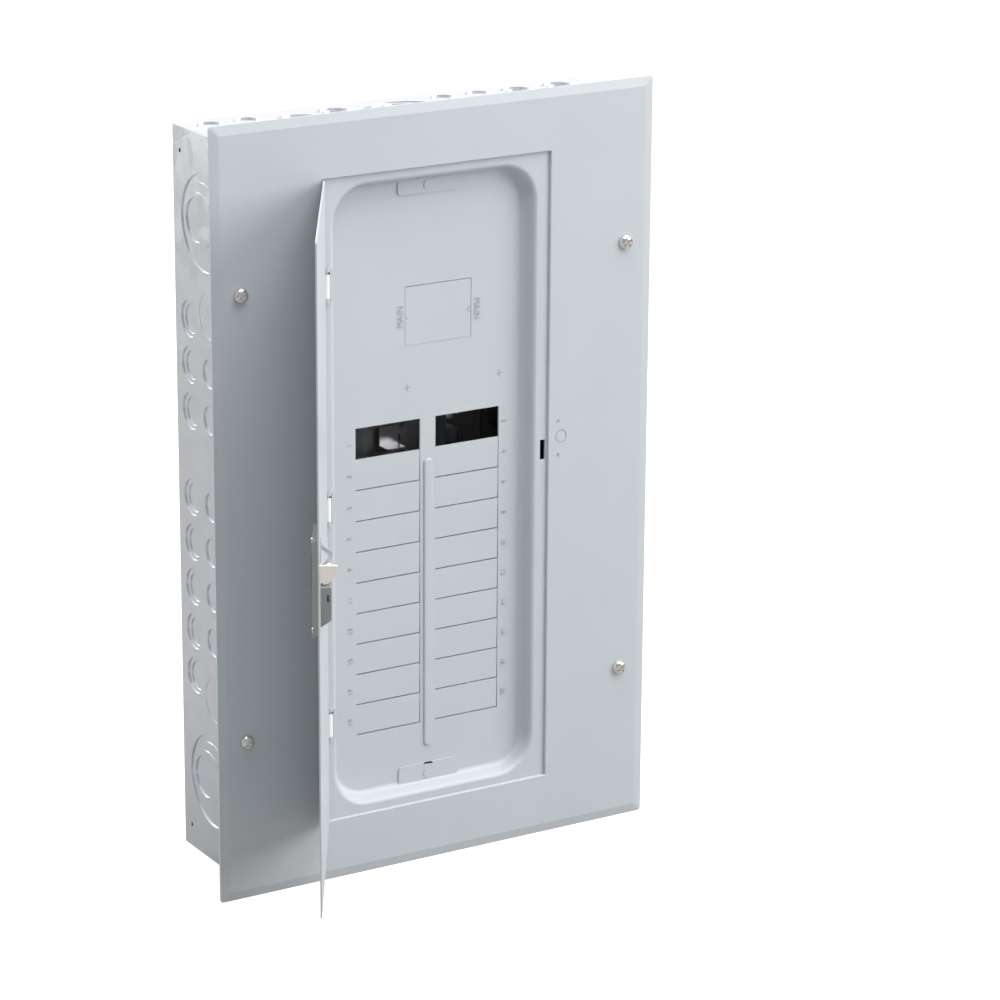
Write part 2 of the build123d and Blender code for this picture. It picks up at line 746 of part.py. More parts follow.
# Two small screws hold the housing on the door.
with BuildPart() as latch_screws:
    with BuildSketch(door_face(door_outer - housing_rise)):
        with Locations((latch_screw_along, latch_screw_height), (latch_screw_along, -latch_screw_height)):
            Circle(latch_screw_head)
    extrude(amount=latch_screw_rise)
    with BuildSketch(door_face(door_outer - housing_rise)):
        with Locations((latch_screw_along, latch_screw_height), (latch_screw_along, -latch_screw_height)):
            Circle(latch_screw_radius)
    extrude(amount=door_outer - housing_rise - door_inner)
latch_screws.part.label = "latch_screws"
export_step(latch_screws.part, "parts/latch_screws.step")

# Thumb slide: the ribbed face that shows in the housing's window.
with BuildPart() as latch_button:
    with BuildSketch(door_face(slide_front)):
        with Locations((housing_middle, (button_low + button_high) / 2)):
            Rectangle(button_width, button_high - button_low)
    extrude(amount=slide_front - door_outer + housing_rise + button_rise)
    with BuildSketch(door_face(door_outer - housing_rise - button_rise)):
        with Locations((housing_middle, (button_low + button_high) / 2)):
            with GridLocations(0, (button_high - button_low) / (button_ribs + 1), 1, button_ribs):
                Rectangle(button_width - button_inset, button_rise)
    extrude(amount=-button_rise, mode=Mode.SUBTRACT)
latch_button.part.label = "latch_button"
export_step(latch_button.part, "parts/latch_button.step")

# Cream moulding behind the slide: its plate, the quarter-round hook and the boss that the spring presses.
with BuildPart() as latch_hook:
    with BuildSketch(door_face(slide_back)):
        with Locations((slide_middle, (boss_low + button_high) / 2)):
            Rectangle(slide_width, button_high - boss_low)
    extrude(amount=slide_plate)
    with BuildSketch(door_slice(hook_centre - hook_thickness / 2)):
        with BuildLine():
            RadiusArc((catch_inward + hook_lip, hook_bottom), (hook_reach, hook_top - hook_lip), -hook_curve)
            Polyline(
                (hook_reach, hook_top - hook_lip), (hook_reach, hook_top), (slide_back, hook_top),
                (slide_back, catch_low), (catch_inward, catch_low), (catch_inward, hook_bottom),
                (catch_inward + hook_lip, hook_bottom),
            )
        make_face()
    extrude(amount=hook_thickness)
    with BuildSketch(door_slice(boss_near)):
        with BuildLine():
            Polyline(
                (slide_back, boss_low), (boss_reach - boss_slope_reach, boss_low),
                (boss_reach, boss_low + boss_slope_height),
                (boss_reach, boss_high), (slide_back, boss_high), close=True,
            )
        make_face()
    extrude(amount=boss_width)
latch_hook.part.label = "latch_hook"
export_step(latch_hook.part, "parts/latch_hook.step")

spring_end = door_inner + 3 * spring_sheet

# V-shaped leaf spring: its foot lies on the door above the boss, its free end rests on the boss.
with BuildPart() as latch_spring:
    with BuildSketch(door_slice(boss_near + (boss_width - spring_width) / 2)):
        with BuildLine():
            Polyline(
                (door_inner, spring_foot), (door_inner, spring_top), (spring_reach - spring_sheet, spring_apex),
                (spring_end + spring_sheet, spring_low + spring_sheet), (spring_end, spring_low),
                (spring_end + 2 * spring_sheet, spring_low),
                (spring_reach, spring_apex - spring_sheet / 2), (spring_reach, spring_apex + spring_sheet / 2),
                (door_inner + spring_sheet, spring_top + spring_sheet / 2),
                (door_inner + spring_sheet, spring_foot), close=True,
            )
        make_face()
    extrude(amount=spring_width)
latch_spring.part.label = "latch_spring"
export_step(latch_spring.part, "parts/latch_spring.step")

# ==== Bus assembly ========================================================
tray_back = overall_depth - box_sheet
base_depth = tray_depth - base_thickness
bus_depth = base_depth - bus_thickness
foot_centre = tray_half_width + tray_foot / 2
tray_spots = [(breaker_axis_x + i * foot_centre, j * tray_screw_z) for i in (-1, 1) for j in (-1, 1)]
bus_middle = bus_near + bus_width / 2
bolt_spots = [(breaker_axis_x + i * bus_middle, z) for i in (-1, 1) for z in bus_bolt_heights]
lug_z = bus_top - lug_height / 2

# Steel tray: a wide hat section that stands on the box's back.
with BuildPart() as tray:
    with BuildSketch(Plane.XY.offset(-tray_half_height)):
        with BuildLine():
            feet = tray_half_width + tray_foot
            Polyline(
                *[(breaker_axis_x + side * x, depth - overall_depth) for side, path in (
                    (-1, ((feet, tray_back), (feet, tray_back - tray_sheet),
                          (tray_half_width, tray_back - tray_sheet), (tray_half_width, tray_depth))),
                    (1, ((tray_half_width, tray_depth), (tray_half_width, tray_back - tray_sheet),
                         (feet, tray_back - tray_sheet), (feet, tray_back),
                         (tray_half_width - tray_sheet, tray_back),
                         (tray_half_width - tray_sheet, tray_depth + tray_sheet))),
                    (-1, ((tray_half_width - tray_sheet, tray_depth + tray_sheet),
                          (tray_half_width - tray_sheet, tray_back))),
                ) for x, depth in path],
                close=True,
            )
        make_face()
    extrude(amount=2 * tray_half_height)
    with BuildSketch(front(tray_back)):
        with Locations(*tray_spots):
            Circle(screw_hole_radius)
    extrude(amount=tray_sheet, mode=Mode.SUBTRACT)
tray.part.label = "tray"
export_step(tray.part, "parts/tray.step")

# Pan-head screws fix the tray to the box's back.
with BuildPart() as tray_screws:
    with BuildSketch(front(tray_back - tray_sheet)):
        with Locations(*tray_spots):
            Circle(fixing_head)
    extrude(amount=fixing_rise)
    with BuildSketch(front(tray_back - tray_sheet - fixing_rise)):
        with Locations(*tray_spots):
            Rectangle(fixing_slot_length, fixing_slot_width)
            Rectangle(fixing_slot_width, fixing_slot_length)
    extrude(amount=-fixing_rise / 2, mode=Mode.SUBTRACT)
    with BuildSketch(front(tray_back - tray_sheet)):
        with Locations(*tray_spots):
            Circle(fixing_radius)
    extrude(amount=-tray_sheet - box_sheet + fixing_back_gap)
tray_screws.part.label = "tray_screws"
export_step(tray_screws.part, "parts/tray_screws.step")

# Black insulating base with a low lip along each side.
with BuildPart() as insulating_base:
    with BuildSketch(front(tray_depth)):
        with Locations((breaker_axis_x, 0)):
            Rectangle(2 * base_half_width, 2 * base_half_height)
    extrude(amount=base_thickness)
    with BuildSketch(front(base_depth)):
        with Locations(*[(breaker_axis_x + i * (base_half_width - base_lip / 2), 0) for i in (-1, 1)]):
            Rectangle(base_lip, 2 * base_half_height)
    extrude(amount=base_lip_rise)
    with BuildSketch(front(base_depth)):
        with Locations(*bolt_spots):
            Circle(bus_bolt_radius + thread_clearance)
    extrude(amount=-base_thickness, mode=Mode.SUBTRACT)
insulating_base.part.label = "insulating_base"
export_step(insulating_base.part, "parts/insulating_base.step")

# Two bus bars; their fingers reach across the middle in turn, the left bar's at the odd rows.
for name, side, first in (("bus_bar_left", -1, 0), ("bus_bar_right", 1, 1)):
    finger_rows = [row_centres[k] + finger_lift for k in range(first, rows, 2)]
    with BuildPart() as bus_bar:
        with BuildSketch(front(base_depth)):
            with Locations((breaker_axis_x + side * bus_middle, (bus_top + bus_bottom) / 2)):
                Rectangle(bus_width, bus_top - bus_bottom)
            for z in finger_rows:
                root = breaker_axis_x + side * bus_near
                tip = breaker_axis_x - side * finger_overreach
                with BuildLine():
                    Polyline(
                        (root, z + finger_height / 2 + finger_root_z),
                        (root - side * finger_root_x, z + finger_height / 2),
                        (tip, z + finger_height / 2),
                        (tip, z - finger_height / 2),
                        (root - side * finger_root_x, z - finger_height / 2),
                        (root, z - finger_height / 2 - finger_root_z),
                        close=True,
                    )
                make_face()
            with Locations(*bolt_spots):
                Circle(bus_bolt_radius + thread_clearance, mode=Mode.SUBTRACT)
        extrude(amount=bus_thickness)
        with BuildSketch(front(base_depth)):
            slots = [(breaker_axis_x + side * (finger_overreach + finger_slot_width), z) for z in finger_rows]
            slots += [(breaker_axis_x + side * bus_middle, z - pitch) for z in finger_rows[:-1]]
            with Locations(*slots):
                Rectangle(finger_slot_width, finger_slot_height)
        extrude(amount=bus_thickness, mode=Mode.SUBTRACT)
    bus_bar.part.label = name
    export_step(bus_bar.part, f"parts/{name}.step")

# Bolts clamp the bars to the base.
with BuildPart() as bus_bolts:
    with BuildSketch(front(bus_depth)):
        with Locations(*bolt_spots):
            RegularPolygon(bus_bolt_head, 6)
    extrude(amount=bus_bolt_rise)
    with BuildSketch(front(bus_depth)):
        with Locations(*bolt_spots):
            Circle(bus_bolt_radius)
    extrude(amount=-bus_thickness - base_thickness)
bus_bolts.part.label = "bus_bolts"
export_step(bus_bolts.part, "parts/bus_bolts.step")

# One tin-plated stab to a row: a foot on the bus finger and a blade bent forward for both breakers.
with BuildPart() as stabs:
    with BuildSketch(front(bus_depth)):
        with Locations(*[(breaker_axis_x, z + stab_foot_height / 2) for z in row_centres]):
            Rectangle(stab_width, stab_foot_height)
    extrude(amount=stab_sheet)
    for z in row_centres:
        with BuildSketch(Plane.XY.offset(z)):
            with Locations((breaker_axis_x, bus_depth - stab_rise / 2 - overall_depth)):
                Rectangle(stab_width, stab_rise)
            fillet(vertices().group_by(Axis.Y)[0], radius=stab_corner)
        extrude(amount=-stab_sheet)
stabs.part.label = "stabs"
export_step(stabs.part, "parts/stabs.step")

# A rail on each side carries one hook for the outer end of each breaker.
for name, side in (("breaker_rail_left", -1), ("breaker_rail_right", 1)):
    rail_x = breaker_axis_x + side * (rail_near + rail_width / 2)
    with BuildPart() as breaker_rail:
        with BuildSketch(front(base_depth)):
            with Locations((rail_x, (row_centres[0] + row_centres[-1]) / 2)):
                Rectangle(rail_width, rows * pitch)
        extrude(amount=bus_thickness)
        with BuildSketch(front(bus_depth)):
            hook_x = rail_x + side * (rail_width - rail_hook_sheet) / 2
            with Locations(*[(hook_x, z) for z in row_centres]):
                Rectangle(rail_hook_sheet, rail_hook_height)
        extrude(amount=rail_hook_rise)
    breaker_rail.part.label = name
    export_step(breaker_rail.part, f"parts/{name}.step")

# Main lugs on top of the bars and the neutral lug on the left neutral bar, each with a hex-socket screw.
lug_spots = [
    (breaker_axis_x - bus_middle, bus_depth, lug_z),
    (breaker_axis_x + bus_middle, bus_depth, lug_z),
    (breaker_axis_x - neutral_x, neutral_depth, neutral_lug_z),
]
with BuildPart() as lugs:
    for x, depth, z in lug_spots:
        with BuildSketch(front(depth)):
            with Locations((x, z)):
                RectangleRounded(lug_width, lug_height, lug_corner)
        extrude(amount=lug_rise)
        with BuildSketch(Plane.XY.offset(z - lug_height / 2)):
            with Locations((x, depth - lug_bore_rise - overall_depth)):
                Circle(lug_bore)
        extrude(amount=lug_height, mode=Mode.SUBTRACT)
        with BuildSketch(front(depth - lug_rise)):
            with Locations((x, z)):
                Circle(lug_screw_radius + thread_clearance)
        extrude(amount=-lug_rise + lug_bore_rise, mode=Mode.SUBTRACT)
lugs.part.label = "lugs"
export_step(lugs.part, "parts/lugs.step")

with BuildPart() as lug_screws:
    for x, depth, z in lug_spots:
        with BuildSketch(front(depth - lug_rise)):
            with Locations((x, z)):
                Circle(lug_screw_radius)
        extrude(amount=-lug_screw_length)
        with BuildSketch(front(depth - lug_rise)):
            with Locations((x, z)):
                RegularPolygon(lug_key_radius, 6)
        extrude(amount=-lug_screw_length / 2, mode=Mode.SUBTRACT)
lug_screws.part.label = "lug_screws"
export_step(lug_screws.part, "parts/lug_screws.step")

# ==== Neutral and ground ==================================================
neutral_back = neutral_depth + neutral_thickness
neutral_wires = [neutral_first + wire_pitch * k for k in range(neutral_count)]
ground_wires = [ground_first + wire_pitch * k for k in range(ground_count)]
ground_face = tray_back - ground_thickness
ground_fixings = [(ground_x, ground_low + wire_pitch / 2), (ground_x, ground_high - wire_pitch / 2)]
strap_spot = (breaker_axis_x, strap_z)

for name, side in (("neutral_bar_left", -1), ("neutral_bar_right", 1)):
    x = breaker_axis_x + side * neutral_x
    with BuildPart() as neutral_bar:
        with BuildSketch(front(neutral_back)):
            with Locations((x, (neutral_low + neutral_high) / 2)):
                Rectangle(neutral_width, neutral_high - neutral_low)
        extrude(amount=neutral_thickness)
        with BuildSketch(front(neutral_depth)):
            with Locations(*[(x, z) for z in neutral_wires]):
                Circle(bar_screw_radius + thread_clearance)
        extrude(amount=-bar_screw_length - wire_hole_radius, mode=Mode.SUBTRACT)
        with BuildSketch(Plane.YZ.offset(x - neutral_width / 2)):
            with Locations(*[(neutral_depth + wire_hole_depth - overall_depth, z) for z in neutral_wires]):
                Circle(wire_hole_radius)
        extrude(amount=neutral_width, mode=Mode.SUBTRACT)
    neutral_bar.part.label = name
    export_step(neutral_bar.part, f"parts/{name}.step")

with BuildPart() as ground_bar:
    with BuildSketch(front(tray_back)):
        with Locations((ground_x, (ground_low + ground_high) / 2)):
            Rectangle(neutral_width, ground_high - ground_low)
    extrude(amount=ground_thickness)
    with BuildSketch(front(ground_face)):
        with Locations(*[(ground_x, z) for z in ground_wires]):
            Circle(bar_screw_radius + thread_clearance)
    extrude(amount=-bar_screw_length - wire_hole_radius, mode=Mode.SUBTRACT)
    with BuildSketch(Plane.YZ.offset(ground_x - neutral_width / 2)):
        with Locations(*[(ground_face + wire_hole_depth - overall_depth, z) for z in ground_wires]):
            Circle(wire_hole_radius)
    extrude(amount=neutral_width, mode=Mode.SUBTRACT)
    with BuildSketch(front(ground_face)):
        with Locations(*ground_fixings):
            Circle(fixing_radius + thread_clearance)
    extrude(amount=-ground_thickness, mode=Mode.SUBTRACT)
ground_bar.part.label = "ground_bar"
export_step(ground_bar.part, "parts/ground_bar.step")

# Wire screws in the neutral and ground bars.
neutral_spots = [(breaker_axis_x + i * neutral_x, z) for i in (-1, 1) for z in neutral_wires]
for name, depth, spots in (
    ("neutral_screws", neutral_depth, neutral_spots),
    ("ground_screws", ground_face, [(ground_x, z) for z in ground_wires]),
):
    with BuildPart() as wire_screws:
        with BuildSketch(front(depth)):
            with Locations(*spots):
                Circle(bar_screw_head)
        extrude(amount=bar_screw_rise)
        with BuildSketch(front(depth - bar_screw_rise)):
            with Locations(*spots):
                Rectangle(2 * bar_screw_head, bar_slot_width, rotation=bar_slot_turn)
        extrude(amount=-bar_screw_rise / 2, mode=Mode.SUBTRACT)
        with BuildSketch(front(depth)):
            with Locations(*spots):
                Circle(bar_screw_radius)
        extrude(amount=-bar_screw_length)
    wire_screws.part.label = name
    export_step(wire_screws.part, f"parts/{name}.step")

# Insulating blocks hold the neutral bars off the box.
with BuildPart() as neutral_supports:
    with BuildSketch(front(tray_back)):
        with Locations(*[(breaker_axis_x + i * neutral_x, z) for i in (-1, 1) for z in support_heights]):
            Rectangle(support_width, support_height)
    extrude(amount=tray_back - neutral_back)
neutral_supports.part.label = "neutral_supports"
export_step(neutral_supports.part, "parts/neutral_supports.step")

# A strap joins the two neutral bars, and its screw bonds them to the box.
with BuildPart() as neutral_strap:
    with BuildSketch(front(neutral_back + strap_thickness)):
        with Locations(strap_spot):
            Rectangle(2 * neutral_x + neutral_width, strap_height)
    extrude(amount=strap_thickness)
    with BuildSketch(front(neutral_back)):
        with Locations(strap_spot):
            Circle(fixing_radius + thread_clearance)
    extrude(amount=-strap_thickness, mode=Mode.SUBTRACT)
neutral_strap.part.label = "neutral_strap"
export_step(neutral_strap.part, "parts/neutral_strap.step")

for name, depth, spots in (
    ("bonding_screw", neutral_back, [strap_spot]),
    ("ground_fixings", ground_face, ground_fixings),
):
    with BuildPart() as fixing:
        with BuildSketch(front(depth)):
            with Locations(*spots):
                Circle(fixing_head)
        extrude(amount=fixing_rise)
        with BuildSketch(front(depth - fixing_rise)):
            with Locations(*spots):
                Rectangle(fixing_slot_length, fixing_slot_width, rotation=fixing_slot_turn)
        extrude(amount=-fixing_rise / 2, mode=Mode.SUBTRACT)
        with BuildSketch(front(depth)):
            with Locations(*spots):
                Circle(fixing_radius)
        extrude(amount=depth - overall_depth + fixing_back_gap)
    fixing.part.label = name
    export_step(fixing.part, f"parts/{name}.step")
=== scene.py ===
from math import cos, radians, sin

import bmesh
import bpy
from mathutils import Matrix, Vector


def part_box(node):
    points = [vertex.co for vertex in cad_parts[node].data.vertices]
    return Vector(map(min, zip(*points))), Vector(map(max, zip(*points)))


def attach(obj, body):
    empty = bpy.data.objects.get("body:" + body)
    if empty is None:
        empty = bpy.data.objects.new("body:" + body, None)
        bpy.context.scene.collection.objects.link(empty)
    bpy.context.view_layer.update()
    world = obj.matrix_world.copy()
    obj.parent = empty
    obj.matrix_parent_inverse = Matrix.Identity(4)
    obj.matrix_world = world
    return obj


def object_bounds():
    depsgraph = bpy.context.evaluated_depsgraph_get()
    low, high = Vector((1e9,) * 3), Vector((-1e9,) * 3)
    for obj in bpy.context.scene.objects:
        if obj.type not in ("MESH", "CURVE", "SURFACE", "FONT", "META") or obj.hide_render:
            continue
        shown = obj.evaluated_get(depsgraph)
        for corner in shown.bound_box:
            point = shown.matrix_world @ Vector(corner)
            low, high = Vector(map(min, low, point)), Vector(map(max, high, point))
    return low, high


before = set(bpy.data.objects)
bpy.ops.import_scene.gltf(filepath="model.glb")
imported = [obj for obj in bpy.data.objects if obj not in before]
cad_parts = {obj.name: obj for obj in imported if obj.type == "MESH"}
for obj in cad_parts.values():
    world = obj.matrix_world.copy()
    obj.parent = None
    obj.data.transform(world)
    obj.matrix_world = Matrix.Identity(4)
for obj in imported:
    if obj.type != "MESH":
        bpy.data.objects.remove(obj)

cad_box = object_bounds()

# ---- Camera ----------------------------------------------------------------
# A long lens to the left of the panel and a little above it, so the door stands almost edge-on
# and the box's left side shows behind the cover's edge.
heading, drop, tilt = radians(30.2), radians(17.15), radians(0.05)
ahead = Vector((sin(heading) * cos(drop), cos(heading) * cos(drop), -sin(drop)))
across = Vector((cos(heading), -sin(heading), 0))
above = across.cross(ahead)
right_hand = across * cos(tilt) + above * sin(tilt)
upward = above * cos(tilt) - across * sin(tilt)

camera = bpy.data.objects.new("camera", bpy.data.cameras.new("camera"))
bpy.context.scene.collection.objects.link(camera)
camera.matrix_world = Matrix.Translation((-1.47248, -2.61448, 0.90778)) @ Matrix(
    (right_hand, upward, -ahead)
).transposed().to_4x4()
camera.data.sensor_width = 36.0
camera.data.lens = 140.03
camera.data.shift_x, camera.data.shift_y = 0.07, -0.02
camera.data.clip_end = 50.0
bpy.context.scene.camera = camera

# ---- Studio ----------------------------------------------------------------
# A white sweep under the panel that glows only for the viewer, a bright wall behind for the zinc to
# mirror, and a dimmer room in front. The key lamp is high on the right, so the open door shades the
# cover's left side.
bpy.context.scene.view_settings.view_transform = "Standard"
world = bpy.data.worlds.new("studio")
bpy.context.scene.world = world
world.use_nodes = True
room = world.node_tree
sky = room.nodes["Background"]
direction = room.nodes.new("ShaderNodeTexCoord")
depth_of = room.nodes.new("ShaderNodeSeparateXYZ")
room.links.new(direction.outputs["Generated"], depth_of.inputs[0])
room_tones = room.nodes.new("ShaderNodeMapRange")
for label, value in (("From Min", -0.5), ("From Max", 0.5), ("To Min", 0.41), ("To Max", 1.05)):
    room_tones.inputs[label].default_value = value
room.links.new(depth_of.outputs["Y"], room_tones.inputs["Value"])
room.links.new(room_tones.outputs[0], sky.inputs["Strength"])
sky.inputs["Color"].default_value = (1.0, 1.0, 1.0, 1)


def lamp(name, place, aim, width, height, power):
    """One soft box, turned to face a point."""
    data = bpy.data.lights.new(name, "AREA")
    data.shape = "RECTANGLE"
    data.size, data.size_y = width, height
    data.energy = power
    box = bpy.data.objects.new(name, data)
    bpy.context.scene.collection.objects.link(box)
    box.location = place
    box.rotation_mode = "QUATERNION"
    box.rotation_quaternion = (Vector(aim) - Vector(place)).to_track_quat("-Z", "Y")


lamp("overhead_softbox", (0.4, -0.7, 2.5), (0, 0, 0), 2.4, 1.8, 72)
lamp("key_softbox", (2.6, -2.3, 1.5), (0, 0, 0), 2.6, 2.4, 96)
lamp("side_softbox", (-2.4, 2.0, 0.4), (0, 0, 0), 2.2, 2.2, 44)

floor_shape = bmesh.new()
bmesh.ops.create_grid(floor_shape, x_segments=1, y_segments=1, size=20)
floor_mesh = bpy.data.meshes.new("floor")
floor_shape.to_mesh(floor_mesh)
floor_shape.free()
floor = bpy.data.objects.new("floor", floor_mesh)
bpy.context.scene.collection.objects.link(floor)
floor_gap = 0.0005
floor.location.z = cad_box[0].z - floor_gap
floor_paint = bpy.data.materials.new("floor")
floor_paint.use_nodes = True
floor_shader = floor_paint.node_tree.nodes["Principled BSDF"]
floor_shader.inputs["Base Color"].default_value = (0.32, 0.32, 0.32, 1)
floor_shader.inputs["Roughness"].default_value = 0.9
floor_shader.inputs["Emission Color"].default_value = (1.0, 1.0, 1.0, 1)
seen = floor_paint.node_tree.nodes.new("ShaderNodeLightPath")
floor_glow = floor_paint.node_tree.nodes.new("ShaderNodeMath")
floor_glow.operation = "MULTIPLY"
floor_glow.inputs[1].default_value = 0.92
floor_paint.node_tree.links.new(seen.outputs["Is Camera Ray"], floor_glow.inputs[0])
floor_paint.node_tree.links.new(floor_glow.outputs[0], floor_shader.inputs["Emission Strength"])
floor_mesh.materials.append(floor_paint)


# ---- Box -------------------------------------------------------------------
# Folded from hot-dip galvanised sheet: a back with two sides, and an end wall at top and bottom.
# The zinc has frozen into broad pale crystals, and the knockouts are pressed half through.
def group_tree(name, numbers, colours, results):
    """An empty shader group with number and colour inputs; each result is a name and a socket type."""
    tree = bpy.data.node_groups.new(name, "ShaderNodeTree")
    for label, start in numbers:
        socket = tree.interface.new_socket(label, in_out="INPUT", socket_type="NodeSocketFloat")
        socket.default_value = start
    for label in colours:
        tree.interface.new_socket(label, in_out="INPUT", socket_type="NodeSocketColor")
    for label, kind in results:
        tree.interface.new_socket(label, in_out="OUTPUT", socket_type=kind)
    return tree, tree.nodes.new("NodeGroupInput"), tree.nodes.new("NodeGroupOutput")


def add(tree, kind, **settings):
    """One shader node; i0, i1 and so on are inputs by number, and an output socket is linked."""
    node = tree.nodes.new(kind)
    for key, value in settings.items():
        if hasattr(node, key) and key not in node.inputs:
            setattr(node, key, value)
            continue
        socket = node.inputs[int(key[1:])] if key[0] == "i" and key[1:].isdigit() else node.inputs[key]
        if isinstance(value, bpy.types.NodeSocket):
            tree.links.new(value, socket)
        else:
            socket.default_value = value
    return node


def reckon(tree, operation, a, b, c=0.0):
    """The value of a sum, product or other plain operation."""
    return add(tree, "ShaderNodeMath", operation=operation, i0=a, i1=b, i2=c).outputs[0]


def around(tree, centre, spread, wave):
    """A value that moves by spread to each side of centre as wave goes from 0 to 1."""
    swing = reckon(tree, "MULTIPLY_ADD", wave, 2.0, -1.0)
    return reckon(tree, "MULTIPLY_ADD", swing, spread, centre)


def toned(tree, colour, spread, wave):
    """A colour made lighter and darker by a share."""
    level = around(tree, 1.0, spread, wave)
    return add(tree, "ShaderNodeVectorMath", operation="SCALE", i0=colour, i3=level).outputs[0]


skin_results = (
    ("Colour", "NodeSocketColor"),
    ("Roughness", "NodeSocketFloat"),
    ("Height", "NodeSocketFloat"),
)

spangle, given, result = group_tree(
    "zinc_spangle",
    (("Crystals", 70.0), ("Tone Spread", 0.05), ("Roughness", 0.17), ("Roughness Spread", 0.05)),
    ("Colour",),
    skin_results,
)
place = add(spangle, "ShaderNodeTexCoord").outputs["Object"]
bend = add(spangle, "ShaderNodeTexNoise", Vector=place, Scale=90.0, Detail=2.0).outputs["Color"]
bent = add(spangle, "ShaderNodeVectorMath", operation="MULTIPLY_ADD", i0=bend, i1=(0.012,) * 3, i2=place)
crystal = add(spangle, "ShaderNodeTexVoronoi", Vector=bent.outputs[0], Scale=given.outputs["Crystals"])
shade = add(spangle, "ShaderNodeSeparateColor", Color=crystal.outputs["Color"])
rolling = add(spangle, "ShaderNodeTexNoise", Vector=place, Scale=9.0, Detail=3.0).outputs["Fac"]
wave = reckon(spangle, "MULTIPLY_ADD", rolling, 0.55, reckon(spangle, "MULTIPLY", shade.outputs[0], 0.45))
grain = add(spangle, "ShaderNodeTexNoise", Vector=place, Scale=900.0, Detail=2.0).outputs["Fac"]
zinc = toned(spangle, given.outputs["Colour"], given.outputs["Tone Spread"], wave)
spangle.links.new(zinc, result.inputs[0])
spangle.links.new(
    around(spangle, given.outputs["Roughness"], given.outputs["Roughness Spread"], shade.outputs[1]),
    result.inputs[1],
)
spangle.links.new(reckon(spangle, "MULTIPLY_ADD", grain, 0.4, rolling), result.inputs[2])


def surface(name, skin, colour, metallic=0.0, bump=0.0002, strength=0.3, values=()):
    """A material whose colour, roughness and fine relief come from one of the skin groups."""
    material = bpy.data.materials.new(name)
    material.use_nodes = True
    tree = material.node_tree
    shader = tree.nodes["Principled BSDF"]
    coating = tree.nodes.new("ShaderNodeGroup")
    coating.node_tree = skin
    coating.inputs["Colour"].default_value = (*colour, 1)
    for label, value in values:
        coating.inputs[label].default_value = value
    relief = add(tree, "ShaderNodeBump", Height=coating.outputs["Height"], Distance=bump, Strength=strength)
    tree.links.new(coating.outputs["Colour"], shader.inputs["Base Color"])
    tree.links.new(coating.outputs["Roughness"], shader.inputs["Roughness"])
    tree.links.new(relief.outputs["Normal"], shader.inputs["Normal"])
    shader.inputs["Metallic"].default_value = metallic
    return material


def coat(material, *nodes):
    """Puts one material on the slots of these CAD nodes."""
    for name in nodes:
        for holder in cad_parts[name].material_slots:
            holder.material = material


galvanised = surface(
    "galvanised_sheet", spangle, (0.80, 0.82, 0.86), metallic=0.9, bump=0.00015, strength=0.25
)
coat(galvanised, "box_body", "end_wall_top", "end_wall_bottom")

# ---- Cover and door --------------------------------------------------------
# Drawn from steel sheet and powder coated pale cool grey, satin, with a fine orange peel.
# The door is a flat sheet of the same finish.
skin, given, result = group_tree(
    "even_skin",
    (
        ("Patches", 14.0), ("Tone Spread", 0.03), ("Grain", 1200.0),
        ("Roughness", 0.42), ("Roughness Spread", 0.05),
    ),
    ("Colour",),
    skin_results,
)
place = add(skin, "ShaderNodeTexCoord").outputs["Object"]
patches = given.outputs["Patches"]
patch = add(skin, "ShaderNodeTexNoise", Vector=place, Scale=patches, Detail=3.0).outputs["Fac"]
rub = add(skin, "ShaderNodeTexNoise", Vector=place, Scale=60.0, Detail=4.0).outputs["Fac"]
grain = add(skin, "ShaderNodeTexNoise", Vector=place, Scale=given.outputs["Grain"], Detail=2.0).outputs["Fac"]
skin.links.new(toned(skin, given.outputs["Colour"], given.outputs["Tone Spread"], patch), result.inputs[0])
skin.links.new(
    around(skin, given.outputs["Roughness"], given.outputs["Roughness Spread"], rub), result.inputs[1]
)
skin.links.new(grain, result.inputs[2])

paint_tone = (0.505, 0.535, 0.56)
paint = surface("powder_coat", skin, paint_tone, bump=0.00006, strength=0.35)
coat(paint, "cover", "door_panel")

# ---- Stamped marks ---------------------------------------------------------
# Row numbers beside the breaker openings and the word on each side of the main opening, stamped
# lightly into the pan's floor. Each reads from its own side of the panel. The letters are thin strokes
# in a darker tone of the cover's own paint: painted shade, standing in for the shade inside stamped strokes.
pan_depth = 0.0143
pan_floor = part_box("cover")[0].y + pan_depth
stamp_relief = 0.00012
row_pitch = 0.0254
first_row = 0.0429
number_height = 0.0040
odd_numbers_x = -0.0715
even_numbers_x = 0.0690
word_size = (0.0057, 0.0170)
left_word_at = (-0.0260, 0.1400)
right_word_at = (0.0435, 0.1382)
# The letters' darker share of the paint tone is painted shade for the stamped strokes, not a different paint.
stroke_shade_share = 0.76
stroke_offset = -0.008
stroke_shade_tone = tuple(stroke_shade_share * tone for tone in paint_tone)
stroke_shade_paint = surface("stroke_painted_shade", skin, stroke_shade_tone, bump=0.00006, strength=0.35)


